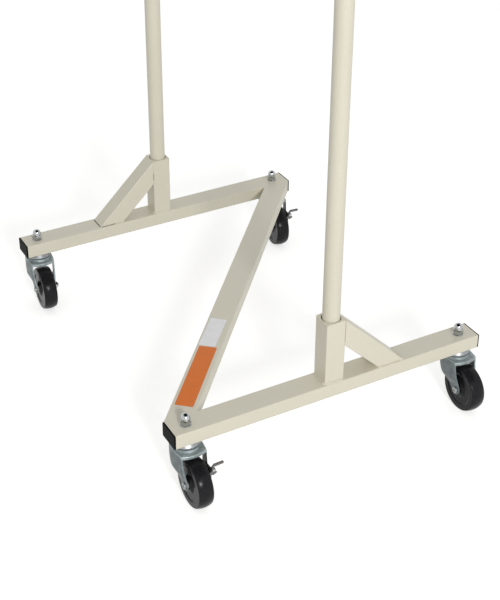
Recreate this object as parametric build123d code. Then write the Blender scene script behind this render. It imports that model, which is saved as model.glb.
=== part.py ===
"""Rolling rack on a Z-shaped welded base with four swivel casters.

Two rails lie across the rack and one diagonal brace joins them into a Z.  A square
post and its gusset stand on each rail and hold a round upright, and a hang rail
joins the uprights at the top.  X runs along the rails, Y from the near rail to the
far rail, Z is up.  Sizes are in millimetres.
"""

from build123d import *
from math import asin, atan2, cos, degrees, hypot, radians, sin, sqrt
import os

# --- base frame -------------------------------------------------------------
rail_length = 666.0
rail_width = 50.0
rail_height = 30.0
rail_wall = 2.0
rail_corner = 2.4
rail_spacing = 748.0  # between the two rails' centre lines
tube_inner_corner = 0.5

cap_head = 3.0
cap_plug_depth = 14.0
cap_plug_wall = 2.0
cap_edge = 0.8

post_size = 41.0
post_wall = 3.0
post_plate = 4.0  # thickness of the plate that closes the post's corners
post_mouth_diameter = 37.5
post_height = 133.0
gusset_wall = 2.5
gusset_reach = 136.0  # from the post's side to the gusset's toe
gusset_foot = 58.0  # length of its foot along the rail
gusset_top_drop = 0.4  # below the post's top

# --- upper frame ------------------------------------------------------------
upright_diameter = 33.7
upright_wall = 2.0
upright_length = 1240.0
hang_rail_diameter = 33.7
hang_rail_wall = 2.0
hang_rail_drop = 42.0  # its centre line below the uprights' tops
cope_clearance = 0.05
insert_length = 16.0
insert_clearance = 0.04
insert_setback = 2.0  # behind the upright's side
rail_bolt_diameter = 8.0
rail_bolt_hole_clearance = 0.25
rail_bolt_head_radius = 8.5
rail_bolt_head_height = 4.5
rail_bolt_reach = 14.0  # thread length inside the insert
upright_cap_rise = 7.0
upright_cap_rim = 2.0
upright_cap_plug = 16.0

# --- casters ----------------------------------------------------------------
caster_height = 126.0  # floor to the rail's underside
stem_inset = 31.5  # from the rail's end
trail = 36.5  # from the stem's axis to the axle
wheel_radius = 49.0
wheel_width = 30.0
wheel_crown_radius = 36.0  # of the tread's rounding from side to side
wheel_edge_radius = 3.0
wheel_web_depth = 1.6
wheel_web_inner_radius = 19.0
wheel_web_outer_radius = 31.5
wheel_web_rise = 3.0  # width of the slope from the web out to the rim
wheel_boss_radius = 12.5
wheel_boss_stand_out = 2.0  # the boss's end past the rim's side
wheel_small_fillet = 1.3

sheet = 3.0  # pressed fork plate
fork_inner_half = 19.6  # half the gap between the legs at the axle
crown_half = 29.5  # half the fork's width beside the stem
crown_drop = 12.0  # rail's underside to the crown's raised middle
rim_drop = 2.5  # the crown's rim below its raised middle
crown_back = 38.0  # stem's axis to the middle of the crown's trailing edge
crown_front = 31.0
crown_edge = 2.0  # rounding of the crown's pressed edge
lip_depth = 3.0  # of the lip turned down along the trailing edge
lip_thickness = 2.6
corner_half = 26.0  # half the crown's width at its trailing corners
corner_back = 31.5
shoulder_half = 27.5  # half the crown's width at the legs' leading edges
shoulder_front = 15.0
bulge_back = 4.0  # where along Y the legs stand furthest out
leg_bend_drop = 32.5  # from the rim's underside down to where the legs lean inwards
leg_straight_rise = 5.0  # from the axle up to where they are flat again
leg_end_radius = 10.0
# The legs' edges, drawn for this height from the axle to the rim's underside:
# y from the stem's axis and the rise above the axle.
leg_drawn_height = 59.5
leg_back_edge = [(-33.2, 44.0), (-36.2, 31.0), (-39.6, 21.0), (-43.6, 10.5)]
leg_front_edge = [(14.4, 50.0), (12.8, 44.0), (8.0, 33.0), (1.5, 24.0), (-5.5, 17.5)]
leg_cut_back = 13.5  # the +X leg ends here, leaving the wheel's top open on that side
leg_cut_drop = 4.5  # from the rim's underside to the cut's top
leg_cut_round = 4.0

stem_radius = 6.0
stem_clearance = 0.08
stem_hole_clearance = 0.5
stem_shoulder_radius = 9.0
stem_head_radius = 9.5
stem_head_height = 4.0
stem_nut_engagement = 14.0

race_radius = 27.0
race_top_radius = 23.5
race_height = 8.4
race_plate = 3.4
ball_radius = 3.0
ball_circle_radius = 21.0
ball_count = 18
ball_gap = 0.3
ball_seat_gap = 0.04
ring_base_radius = 28.5
ring_top_radius = 27.0
ring_wall_radius = 26.0  # inside the wall that joins the raised middle to the rim
ring_inner_radius = 16.5
ring_height = 2.0

nut_washer_radius = 11.6
nut_washer_thickness = 1.6
nut_across_flats = 19.0
nut_hex_height = 10.0
nut_dome_radius = 9.0
nut_dome_height = 12.6
thread_gap = 0.03

axle_radius = 4.0
axle_clearance = 0.05
axle_head_radius = 6.8
axle_head_height = 2.8
axle_dimple_radius = 2.8
axle_dimple_depth = 1.2
axle_nut_across_flats = 13.0
axle_nut_height = 5.5
axle_tip = 2.0
bush_wall = 2.5
bush_clearance = 0.05

# --- side brakes ------------------------------------------------------------
brake_pin_side_gap = 0.3  # between the pin's heads and the leg's outer face
brake_pivot_height = 83.0
brake_pin_radius = 2.0
brake_pin_clearance = 0.05
brake_pin_head_radius = 3.0
brake_pin_head = 1.2
brake_back = 56.0  # stem's axis to the lever's front face
brake_plate = 3.0
brake_plate_gap = 0.3
brake_disc_radius = 4.0
ear_low_z = 58.0
ear_low_front = 38.0
ear_top_front = 34.0
lug_round = 4.0
horn_reach = 20.5  # from the pin to the horn's tip
horn_rise = 12.2
horn_depth = 5.0
horn_tip_radius = 1.9
release_reach = 6.5
release_drop = 7.0
nose_half = 2.4
nose_drop = 8.0
nose_side_gap = 2.7  # nose's tip to the wheel's side with the brake off

floor_to_rail_top = caster_height + rail_height
stem_x = rail_length / 2 - stem_inset
far_y = rail_spacing / 2
fork_outer_half = fork_inner_half + sheet
brake_pivot_out = fork_outer_half + brake_pin_head_radius + brake_pin_side_gap
crown_top = caster_height - crown_drop
crown_low = crown_top - sheet
rim_top = crown_top - rim_drop
rim_low = rim_top - sheet
lip_low = rim_low - lip_depth
leg_bend_top = rim_low - leg_bend_drop
leg_cut_top = rim_low - leg_cut_drop
axle_z = wheel_radius
leg_straight_z = axle_z + leg_straight_rise
hang_rail_z = floor_to_rail_top + upright_length - hang_rail_drop


# --- tubes ------------------------------------------------------------------
def tube_section(width, height, wall, corner):
    outer = RectangleRounded(width, height, corner)
    inner = RectangleRounded(width - 2 * wall, height - 2 * wall, tube_inner_corner)
    return outer - inner


def cross_rail():
    """A rail along X with its underside at the casters' height, drilled for the stems."""
    section = tube_section(rail_width, rail_height, rail_wall, rail_corner)
    tube = extrude(Plane.YZ * section, rail_length / 2, both=True)
    for x in (-stem_x, stem_x):
        tube -= Pos(x, 0, 0) * Cylinder(stem_radius + stem_hole_clearance, 2 * rail_height)
    return Pos(0, 0, floor_to_rail_top - rail_height / 2) * tube


def rail_cap():
    """A moulded end cap: a head on the tube's end and a hollow plug inside it."""
    head = extrude(Plane.YZ * RectangleRounded(rail_width, rail_height, rail_corner), cap_head)
    head = fillet(head.faces().sort_by(Axis.X)[-1].edges(), cap_edge)
    plug_width = rail_width - 2 * rail_wall
    plug_height = rail_height - 2 * rail_wall
    plug = tube_section(plug_width, plug_height, cap_plug_wall, tube_inner_corner)
    head += extrude(Plane.YZ * plug, -cap_plug_depth)
    return Pos(rail_length / 2, 0, floor_to_rail_top - rail_height / 2) * head


def rail_caps():
    right = rail_cap()
    return [right, Rot(0, 0, 180) * right]


def diagonal_brace():
    """The Z's diagonal, mitred against both rails, its outer edges meeting their ends."""
    span = rail_spacing - rail_width
    long_side = hypot(rail_length, span)
    angle = degrees(atan2(span, rail_length) + asin(rail_width / long_side))
    section = tube_section(rail_width, rail_height, rail_wall, rail_corner)
    tube = Rot(0, 0, angle) * extrude(Plane.YZ * section, long_side, both=True)
    brace = tube & Box(4 * rail_length, span, 2 * rail_height)
    return Pos(0, 0, floor_to_rail_top - rail_height / 2) * brace


def post():
    """Square socket post on a rail's top, with a round mouth for the upright."""
    section = tube_section(post_size, post_size, post_wall, rail_corner)
    plate = extrude(RectangleRounded(post_size, post_size, rail_corner), post_plate)
    body = extrude(section, post_height) + Pos(0, 0, post_height - post_plate) * plate
    mouth = Pos(0, 0, post_height) * Cylinder(post_mouth_diameter / 2, 2 * post_plate)
    return Pos(0, 0, floor_to_rail_top) * (body - mouth)


def gusset():
    """Square-tube strut from the post's side down to the rail, open at both mitres."""
    top = post_height - gusset_top_drop
    slope = top / gusset_reach
    low = slope * (gusset_reach - gusset_foot)
    start = post_size / 2
    toe = start + gusset_reach
    heel = toe - gusset_foot
    outline = Polyline((start, low), (start, top), (toe, 0), (heel, 0), close=True)
    strut = extrude(Plane.XZ * make_face(outline), post_size / 2, both=True)
    along = Vector(1, 0, -slope).normalized()
    long_edges = [e for e in strut.edges() if abs(e.tangent_at(0.5).dot(along)) > 0.999]
    strut = fillet(long_edges, rail_corner)
    rise = gusset_wall * sqrt(1 + slope**2)
    spare = post_size
    bore = Polyline(
        (start - spare, low + rise + slope * spare),
        (start - spare, top - rise + slope * spare),
        (toe + spare, -rise - slope * spare),
        (heel + spare, rise - slope * spare),
        close=True,
    )
    strut -= extrude(Plane.XZ * make_face(bore), post_size / 2 - gusset_wall, both=True)
    return Pos(0, 0, floor_to_rail_top) * strut


def upright():
    radius = upright_diameter / 2
    tube = Circle(radius) - Circle(radius - upright_wall)
    body = Pos(0, 0, floor_to_rail_top) * extrude(tube, upright_length)
    hole = rail_bolt_diameter / 2 + rail_bolt_hole_clearance
    body -= Pos(0, 0, hang_rail_z) * Rot(90, 0, 0) * Cylinder(hole, 2 * upright_diameter)
    return body


def upright_cap():
    """Domed plastic cap pushed into an upright's top."""
    radius = upright_diameter / 2
    bore = radius - upright_wall
    cap = revolved(
        [
            (bore - cap_plug_wall, 0),
            (bore - cap_plug_wall, -upright_cap_plug),
            (bore, -upright_cap_plug),
            (bore, 0),
            (radius, 0),
            (radius, upright_cap_rise),
            (0, upright_cap_rise),
            (0, 0),
        ]
    )
    rim = cap.edges().filter_by(GeomType.CIRCLE).sort_by(Axis.Z)[-1]
    cap = fillet(rim, upright_cap_rise - upright_cap_rim)
    return Pos(0, 0, floor_to_rail_top + upright_length) * cap


def hang_rail():
    """Round tube between the uprights, coped to their curve at both ends."""
    radius = hang_rail_diameter / 2
    ring = Circle(radius) - Circle(radius - hang_rail_wall)
    tube = extrude(Plane.XZ * ring, far_y, both=True)
    cope = upright_diameter / 2 + cope_clearance
    for y in (-far_y, far_y):
        tube -= Pos(0, y, 0) * Cylinder(cope, 2 * hang_rail_diameter)
    return Pos(0, 0, hang_rail_z) * tube


def along_minus_y(shape, y, z):
    """Place a shape made along +Z so that it runs along +Y from the point y, z."""
    return Pos(0, y, z) * Rot(-90, 0, 0) * shape


def rail_insert():
    """Threaded plug inside the hang rail's near end."""
    radius = hang_rail_diameter / 2 - hang_rail_wall - insert_clearance
    plug = Cylinder(radius, insert_length, align=(Align.CENTER, Align.CENTER, Align.MIN))
    plug = chamfer(plug.edges().filter_by(GeomType.CIRCLE), 0.6)
    plug -= Cylinder(rail_bolt_diameter / 2 + thread_gap, 3 * insert_length)
    return along_minus_y(plug, -far_y + upright_diameter / 2 + insert_setback, hang_rail_z)


def rail_bolt():
    """Round-head bolt through the near upright into the insert."""
    reach = upright_diameter + insert_setback + rail_bolt_reach
    shank = Cylinder(rail_bolt_diameter / 2, reach, align=(Align.CENTER, Align.CENTER, Align.MIN))
    head = Cylinder(
        rail_bolt_head_radius,
        rail_bolt_head_height,
        align=(Align.CENTER, Align.CENTER, Align.MAX),
    )
    head = fillet(head.edges().sort_by(Axis.Z)[0], rail_bolt_head_height * 0.7)
    return along_minus_y(shank + head, -far_y - upright_diameter / 2, hang_rail_z)


# --- caster pieces, about the stem's axis with the floor at Z 0 ---------------
def revolved(points):
    """Solid of revolution about Z from (radius, height) points."""
    outline = make_face(Polyline(*points, close=True))
    return revolve(Plane.XZ * outline, axis=Axis.Z)


ball_z = crown_top + ball_radius


def upper_race():
    """Pressed bearing cup held against the rail's underside."""
    top = caster_height
    low = top - race_height
    hole = stem_radius + thread_gap
    cup = revolved(
        [
            (hole, top),
            (race_top_radius, top),
            (race_radius, top - race_height * 0.6),
            (race_radius, low),
            (ring_inner_radius, low),
            (ring_inner_radius - 1.5, top - race_plate),
            (hole, top - race_plate),
        ]
    )
    outer = cup.edges().filter_by(GeomType.CIRCLE).sort_by(SortBy.RADIUS)[-2:]
    cup = fillet(outer, 1.1)
    return cup - Pos(0, 0, ball_z) * Torus(ball_circle_radius, ball_radius + ball_gap)


def race_balls():
    balls = []
    for index in range(ball_count):
        turn = Rot(0, 0, 360 * index / ball_count)
        balls.append(turn * Pos(ball_circle_radius, 0, ball_z) * Sphere(ball_radius))
    return balls


def stem():
    """Threaded kingpin: riveted head under the crown, shoulder under the race."""
    shoulder_low = crown_top + 0.3
    shoulder_top = caster_height - race_plate
    head_top = crown_low - 0.3
    head_low = head_top - stem_head_height
    tip = floor_to_rail_top + nut_washer_thickness + stem_nut_engagement
    return revolved(
        [
            (0, head_low),
            (stem_head_radius - 2.5, head_low),
            (stem_head_radius, head_low + 2.0),
            (stem_head_radius, head_top),
            (stem_radius, head_top),
            (stem_radius, shoulder_low),
            (stem_shoulder_radius, shoulder_low),
            (stem_shoulder_radius, shoulder_top),
            (stem_radius, shoulder_top),
            (stem_radius, tip - 1.0),
            (stem_radius - 1.0, tip),
            (0, tip),
        ]
    )


def nut_washer():
    washer = Cylinder(
        nut_washer_radius,
        nut_washer_thickness,
        align=(Align.CENTER, Align.CENTER, Align.MIN),
    )
    washer = chamfer(washer.edges().sort_by(Axis.Z)[-1], 0.4)
    washer -= Cylinder(stem_radius + stem_hole_clearance, 4 * nut_washer_thickness)
    return Pos(0, 0, floor_to_rail_top) * washer


def dome_nut():
    """Hexagon nut with a domed, closed top."""
    hexagon = RegularPolygon(nut_across_flats / 2, 6, major_radius=False)
    blank = extrude(hexagon, nut_hex_height)
    corner = nut_across_flats / sqrt(3)
    side = [(0, 0), (corner - 1.3, 0), (corner, 0.8), (corner, nut_hex_height - 1.4)]
    crown = revolved(side + [(corner - 3, nut_hex_height), (0, nut_hex_height)])
    nut = blank & crown
    shoulder = nut_hex_height + nut_dome_height - nut_dome_radius
    dome = Cylinder(nut_dome_radius, shoulder, align=(Align.CENTER, Align.CENTER, Align.MIN))
    dome += Pos(0, 0, shoulder) * Sphere(nut_dome_radius)
    nut += dome - Pos(0, 0, -nut_dome_radius) * Box(
        4 * nut_dome_radius, 4 * nut_dome_radius, 2 * nut_dome_radius
    )
    depth = stem_nut_engagement + 1
    bore = Cylinder(stem_radius + thread_gap, depth, align=(Align.CENTER, Align.CENTER, Align.MIN))
    nut -= bore
    return Pos(0, 0, floor_to_rail_top + nut_washer_thickness) * nut


def side_points(blend):
    """Points of the +X side's curve, from the crown's bow (0) to the straight leg (1)."""
    back = Vector(corner_half + blend * (fork_outer_half - corner_half), -corner_back)
    front = Vector(shoulder_half + blend * (fork_outer_half - shoulder_half), shoulder_front)
    bow = Vector(crown_half + blend * (fork_outer_half - crown_half), -bulge_back)
    return back, 2 * bow - (back + front) / 2, front


def crown_plate():
    """The crown's rim, rounded over by the press, with a lip along its trailing edge."""
    right = side_points(0)
    left = [Vector(-point.X, point.Y) for point in right]
    middle = Vector(0, -crown_back)
    with BuildSketch() as plan:
        with BuildLine():
            ThreePointArc(left[0], middle, right[0])
            Bezier(*right)
            ThreePointArc(right[2], (0, crown_front), left[2])
            Bezier(*reversed(left))
        make_face()
    plate = extrude(plan.sketch, sheet)
    rim = plate.faces().sort_by(Axis.Z)[-1].edges()
    plate = fillet(rim, crown_edge) - Cylinder(ring_wall_radius, 4 * sheet)
    inset = Vector(0, lip_thickness)
    with BuildSketch() as strip:
        with BuildLine():
            ThreePointArc(left[0], middle, right[0])
            Line(right[0], right[0] + inset)
            ThreePointArc(right[0] + inset, middle + inset, left[0] + inset)
            Line(left[0] + inset, left[0])
        make_face()
    lip = extrude(strip.sketch, lip_depth + sheet / 3)
    return Pos(0, 0, rim_low) * plate + Pos(0, 0, lip_low) * lip


def leg_section(height):
    """Level slice of the +X leg: bowed out under the crown, flat beside the wheel."""
    fall = (leg_bend_top - height) / (leg_bend_top - leg_straight_z)
    back, pull, front = side_points((1 - cos(radians(180 * fall))) / 2)
    tail = back + (back - pull).normalized() * (trail + leg_end_radius + 2 - corner_back)
    inset = Vector(-sheet, 0)
    with BuildSketch(Plane.XY.offset(height)) as section:
        with BuildLine():
            Line(tail, back)
            Bezier(back, pull, front)
            Line(front, front + inset)
            Bezier(front + inset, pull + inset, back + inset)
            Line(back + inset, tail + inset)
            Line(tail + inset, tail)
        make_face()
    return section.sketch.face()


def stretched(edge):
    """A leg's edge, its rises stretched to the height that the leg has."""
    stretch = (rim_low - axle_z) / leg_drawn_height
    return [(y, axle_z + rise * stretch) for y, rise in edge]


def leg_outline():
    """A leg seen from the side, without its round end."""
    back_edge = stretched(leg_back_edge)
    front_edge = stretched(leg_front_edge)
    end_back = (-trail - leg_end_radius, axle_z)
    toe = leg_end_radius * sin(radians(45))
    with BuildSketch(Plane.YZ) as outline:
        with BuildLine():
            Spline((-corner_back, lip_low), *back_edge, end_back)
            Polyline(end_back, (-trail, axle_z), (-trail + toe, axle_z - toe), front_edge[-1])
            Spline((shoulder_front, rim_low), *front_edge)
            Polyline(
                (shoulder_front, rim_low),
                (shoulder_front, rim_top),
                (-corner_back, rim_top),
                (-corner_back, lip_low),
            )
        make_face()
    return outline.sketch


def leg():
    """The +X leg, trimmed to its side outline with a round end about the axle."""
    step = (leg_bend_top - leg_straight_z) / 4
    upper = extrude(leg_section(leg_bend_top), rim_low - leg_bend_top)
    upper += loft([leg_section(leg_straight_z + step * count) for count in (4, 3, 2, 1, 0)])
    middle_x = fork_inner_half + sheet / 2
    flat = Pos(middle_x, 0, leg_straight_z / 2) * Box(sheet, 4 * trail, leg_straight_z)
    round_end = Plane.YZ * (Pos(-trail, axle_z) * Circle(leg_end_radius))
    sides = extrude(leg_outline(), 2 * crown_half) + extrude(round_end, 2 * crown_half)
    return (upper + flat) & sides


def leg_cut():
    """What the +X leg leaves away ahead of its cut-back edge."""
    height = leg_cut_top - leg_straight_z
    length = 2 * (shoulder_front + leg_cut_back)
    corner = RectangleRounded(length, height, leg_cut_round)
    middle = Pos(length / 2 - leg_cut_back, leg_cut_top - height / 2)
    return extrude(Plane.YZ * (middle * corner), 2 * crown_half)


def ball_track():
    """The crown's raised middle, with the ring pressed up for the balls to run in."""
    return revolved(
        [
            (stem_radius, crown_low),
            (ring_wall_radius - 2, crown_low),
            (ring_wall_radius - 2, rim_low),
            (ring_base_radius - 0.5, rim_low),
            (ring_base_radius, rim_top),
            (ring_top_radius, crown_top + ring_height),
            (ring_inner_radius, crown_top + ring_height),
            (ring_inner_radius - 1, crown_top),
            (stem_radius, crown_top),
        ]
    )


def fork(braked):
    """Pressed fork: a crown with a raised ball track and two bowed legs."""
    right = leg()
    body = crown_plate() + mirror(right, Plane.YZ) + (right - leg_cut()) + ball_track()
    if braked:
        body += brake_ear()
    body -= Pos(0, 0, ball_z) * Torus(ball_circle_radius, ball_radius + ball_seat_gap)
    body -= Cylinder(stem_radius + stem_clearance, 3 * caster_height)
    axle_hole = Rot(0, 90, 0) * Cylinder(axle_radius + axle_clearance, 4 * crown_half)
    return body - Pos(0, -trail, axle_z) * axle_hole


def brake_place(shape):
    """Put a shape made about the brake pin's axis, facing backwards, on the fork."""
    return Pos(brake_pivot_out, -brake_back, brake_pivot_height) * shape


def brake_ear():
    """Ear behind the braked leg, its end turned outwards as the lug for the brake's pin."""
    lug_back = brake_back - brake_plate_gap
    top = brake_pivot_height + lug_round
    outline = Polyline(
        (-ear_low_front, ear_low_z),
        (-lug_back + 3, ear_low_z),
        (-lug_back, ear_low_z + 4),
        (-lug_back, top),
        (-ear_top_front, top),
        close=True,
    )
    ear = Pos(fork_inner_half, 0, 0) * extrude(Plane.YZ * make_face(outline), sheet)
    reach = brake_pivot_out - fork_inner_half
    lug = Pos(-reach / 2, 0) * Rectangle(reach, 2 * lug_round) + Circle(lug_round)
    lug -= Circle(brake_pin_radius + brake_pin_clearance)
    turned = brake_place(Pos(0, brake_plate_gap, 0) * extrude(Plane.XZ * lug, -sheet))
    return ear + turned


def brake_lever():
    """Flat stamped rocker: horn above, release spur below, nose towards the wheel's side."""
    nose = brake_pivot_out - wheel_width / 2 - nose_side_gap
    horn = make_face(
        Polyline(
            (-brake_disc_radius + 0.6, 0),
            (-brake_disc_radius + 0.2, horn_rise * 0.5),
            (-brake_disc_radius + 3, horn_rise * 0.82),
            (1.0, horn_rise),
            (horn_reach, horn_rise + 0.8),
            (horn_reach, horn_rise + 0.8 - horn_depth),
            (2.0, horn_rise - horn_depth),
            (-0.5, horn_rise * 0.42),
            (brake_disc_radius - 1, 0),
            close=True,
        )
    )
    spur = make_face(
        Polyline(
            (0, -1),
            (release_reach, -release_drop + 0.6),
            (release_reach, -release_drop - 0.8),
            (-1.0, -release_drop - 5.0),
            (-brake_disc_radius + 1, 0),
            close=True,
        )
    )
    tooth = make_face(
        Polyline(
            (0, nose_half),
            (-nose, -nose_drop + nose_half),
            (-nose, -nose_drop - nose_half),
            (0, -nose_drop - nose_half),
            close=True,
        )
    )
    profile = horn + spur + tooth + Circle(brake_disc_radius)
    profile = fillet(profile.vertices().sort_by(Axis.X)[-2:], horn_tip_radius)
    profile -= Circle(brake_pin_radius + brake_pin_clearance)
    return brake_place(extrude(Plane.XZ * profile, brake_plate))


def brake_pin():
    """Headed pin through the lug and the lever."""
    front = sheet + brake_plate_gap
    length = front + brake_plate + brake_plate_gap
    parts = Pos(0, 0, length / 2 - front) * Cylinder(brake_pin_radius, length)
    for z in (-front - brake_pin_head / 2, length - front + brake_pin_head / 2):
        parts += Pos(0, 0, z) * Cylinder(brake_pin_head_radius, brake_pin_head)
    return brake_place(Rot(90, 0, 0) * parts)


def across(shape):
    """Turn a shape made about Z to lie along the axle and put it there."""
    return Pos(0, -trail, axle_z) * Rot(0, 90, 0) * shape


def wheel():
    """Solid hard-rubber wheel: crowned tread, dished sides and a hub boss."""
    half = wheel_width / 2
    web = half - wheel_web_depth
    rim_radius = wheel_web_outer_radius + wheel_web_rise
    bore = axle_radius + axle_clearance + bush_wall + bush_clearance
    edge = wheel_radius - wheel_crown_radius + sqrt(wheel_crown_radius**2 - half**2)
    side = [
        (bore, half + wheel_boss_stand_out),
        (wheel_boss_radius, half + wheel_boss_stand_out),
        (wheel_web_inner_radius, web),
        (wheel_web_outer_radius, web),
        (rim_radius, half),
        (edge, half),
    ]
    other_side = [(radius, -height) for radius, height in reversed(side)]
    with BuildSketch(Plane.XZ) as outline:
        with BuildLine():
            Polyline(*side)
            ThreePointArc(side[-1], (wheel_radius, 0), other_side[0])
            Polyline(*other_side, side[0])
        make_face()
    body = revolve(outline.sketch, axis=Axis.Z)
    circles = body.edges().filter_by(GeomType.CIRCLE)
    body = fillet([e for e in circles if abs(e.radius - edge) < 0.01], wheel_edge_radius)
    soft = (wheel_boss_radius, wheel_web_inner_radius, wheel_web_outer_radius, rim_radius)
    circles = body.edges().filter_by(GeomType.CIRCLE)
    rims = [e for e in circles if min(abs(e.radius - r) for r in soft) < 0.01]
    return across(fillet(rims, wheel_small_fillet))


def hub_bush():
    inner = axle_radius + axle_clearance
    tube = Cylinder(inner + bush_wall, 2 * fork_inner_half)
    return across(tube - Cylinder(inner, 3 * fork_inner_half))


def axle_bolt():
    """Bolt along the axle: low round head on the -X leg, thread and nut on the +X leg."""
    tip = fork_outer_half + axle_nut_height + axle_tip
    shank = Cylinder(axle_radius, tip + fork_outer_half)
    shank = Pos(0, 0, (tip - fork_outer_half) / 2) * chamfer(shank.edges(), 0.5)
    head = Cylinder(axle_head_radius, axle_head_height)
    head = fillet(head.edges().sort_by(Axis.Z)[0], axle_head_height * 0.6)
    head -= Pos(0, 0, -axle_head_height / 2) * Cylinder(axle_dimple_radius, 2 * axle_dimple_depth)
    return across(shank + Pos(0, 0, -fork_outer_half - axle_head_height / 2) * head)


def axle_nut():
    nut = extrude(RegularPolygon(axle_nut_across_flats / 2, 6, major_radius=False), axle_nut_height)
    corner = axle_nut_across_flats / sqrt(3)
    side = [(0, 0), (corner, 0), (corner, axle_nut_height - 1)]
    nut &= revolved(side + [(corner - 1.6, axle_nut_height), (0, axle_nut_height)])
    nut -= Cylinder(axle_radius + thread_gap, 4 * axle_nut_height)
    return across(Pos(0, 0, fork_outer_half) * nut)


# --- assembly ---------------------------------------------------------------
# name, stem's place, heading the caster happens to rest at, and whether it has a brake
casters = [
    ("near_left", -stem_x, -far_y, 0.0, True),
    ("near_right", stem_x, -far_y, 0.0, False),
    ("far_left", -stem_x, far_y, -4.0, False),
    ("far_right", stem_x, far_y, -8.0, True),
]


def base_frame():
    near = Pos(0, -far_y, 0)
    far = Pos(0, far_y, 0) * Rot(0, 0, 180)
    rail, side_post, strut, caps = cross_rail(), post(), gusset(), rail_caps()
    pieces = {"diagonal_brace": [diagonal_brace()]}
    for side, place in (("near", near), ("far", far)):
        pieces[f"{side}_rail"] = [place * rail]
        pieces[f"{side}_post"] = [place * side_post]
        pieces[f"{side}_gusset"] = [place * strut]
        pieces[f"{side}_rail_caps"] = [place * cap for cap in caps]
    return pieces


def upper_frame():
    tube, cap = upright(), upright_cap()
    near_and_far = [Rot(0, 0, 0), Rot(0, 0, 180)]
    return {
        "near_upright": [Pos(0, -far_y, 0) * tube],
        "far_upright": [Pos(0, far_y, 0) * tube],
        "upright_caps": [Pos(0, y, 0) * cap for y in (-far_y, far_y)],
        "hang_rail": [hang_rail()],
        "hang_rail_inserts": [turn * rail_insert() for turn in near_and_far],
        "hang_rail_bolts": [turn * rail_bolt() for turn in near_and_far],
    }


def caster_set():
    fixed = {"upper_race": upper_race(), "stem": stem()}
    turning = {
        "hub_bush": hub_bush(),
        "axle_bolt": axle_bolt(),
        "axle_nut": axle_nut(),
        "wheel": wheel(),
    }
    forks = {braked: fork(braked) for braked in (False, True)}
    brakes = {"brake_lever": brake_lever(), "brake_pin": brake_pin()}
    balls, nut, washer = race_balls(), dome_nut(), nut_washer()
    pieces = {"dome_nuts": [], "nut_washers": []}
    for name, x, y, heading, braked in casters:
        place = Pos(x, y, 0)
        turned = place * Rot(0, 0, heading)
        pieces["dome_nuts"].append(place * nut)
        pieces["nut_washers"].append(place * washer)
        for kind, shape in fixed.items():
            pieces[f"{name}_{kind}"] = [place * shape]
        pieces[f"{name}_fork"] = [turned * forks[braked]]
        pieces[f"{name}_race_balls"] = [turned * ball for ball in balls]
        for kind, shape in turning.items():
            pieces[f"{name}_{kind}"] = [turned * shape]
        if braked:
            for kind, shape in brakes.items():
                pieces[f"{name}_{kind}"] = [turned * shape]
    return pieces


pieces = {**base_frame(), **upper_frame(), **caster_set()}

# The origin is on the floor, under the middle of the whole rack's box.
corners = [solid.bounding_box() for solids in pieces.values() for solid in solids]
middle_x = (min(b.min.X for b in corners) + max(b.max.X for b in corners)) / 2
middle_y = (min(b.min.Y for b in corners) + max(b.max.Y for b in corners)) / 2
to_origin = Pos(-middle_x, -middle_y, 0)

if __name__ == "__main__":
    os.makedirs("parts", exist_ok=True)
    for node, solids in pieces.items():
        placed = [to_origin * solid for solid in solids]
        shape = placed[0] if len(placed) == 1 else Compound(children=placed)
        export_step(shape, f"parts/{node}.step")
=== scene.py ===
"""Looks of a rolling rack: powder-coated frame, plated casters, labels, welds and studio."""

from math import acos, atan2, cos, hypot, radians, sin

import bpy
from mathutils import Matrix, Vector


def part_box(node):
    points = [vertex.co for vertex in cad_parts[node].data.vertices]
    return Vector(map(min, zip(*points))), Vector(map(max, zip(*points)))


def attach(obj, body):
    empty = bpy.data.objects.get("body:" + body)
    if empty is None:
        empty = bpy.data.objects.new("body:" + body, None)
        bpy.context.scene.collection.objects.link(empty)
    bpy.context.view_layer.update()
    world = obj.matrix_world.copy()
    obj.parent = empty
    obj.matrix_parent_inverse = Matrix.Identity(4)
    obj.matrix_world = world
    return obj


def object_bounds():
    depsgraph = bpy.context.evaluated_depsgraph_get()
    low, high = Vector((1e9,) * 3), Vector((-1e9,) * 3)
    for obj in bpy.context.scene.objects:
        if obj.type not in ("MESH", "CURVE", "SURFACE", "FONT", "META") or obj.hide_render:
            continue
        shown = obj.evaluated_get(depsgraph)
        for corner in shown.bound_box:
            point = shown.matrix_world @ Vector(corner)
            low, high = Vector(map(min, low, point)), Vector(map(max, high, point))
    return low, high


bl_info = {
    "name": "Rolling rack finish",
    "version": (1, 0, 0),
    "blender": (4, 5, 0),
    "location": "View3D > Sidebar > Rack",
    "description": "Finishes, labels, welds and studio for the rolling rack",
    "category": "Object",
}

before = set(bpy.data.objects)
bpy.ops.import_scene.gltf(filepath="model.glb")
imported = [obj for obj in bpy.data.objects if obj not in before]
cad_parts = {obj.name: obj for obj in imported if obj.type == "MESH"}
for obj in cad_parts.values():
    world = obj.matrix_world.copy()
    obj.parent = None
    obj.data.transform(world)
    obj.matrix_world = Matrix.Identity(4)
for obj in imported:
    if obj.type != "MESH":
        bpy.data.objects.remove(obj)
cad_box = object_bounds()

MM = 0.001
BASE = "base"

FRAME_TUBES = (
    "near_rail", "far_rail", "diagonal_brace", "near_post", "far_post",
    "near_gusset", "far_gusset", "near_upright", "far_upright", "hang_rail",
)
CASTERS = ("near_left", "near_right", "far_left", "far_right")
BRAKED = ("near_left", "far_right")
END_CAPS = ("near_rail_caps", "far_rail_caps", "upright_caps")

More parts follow.
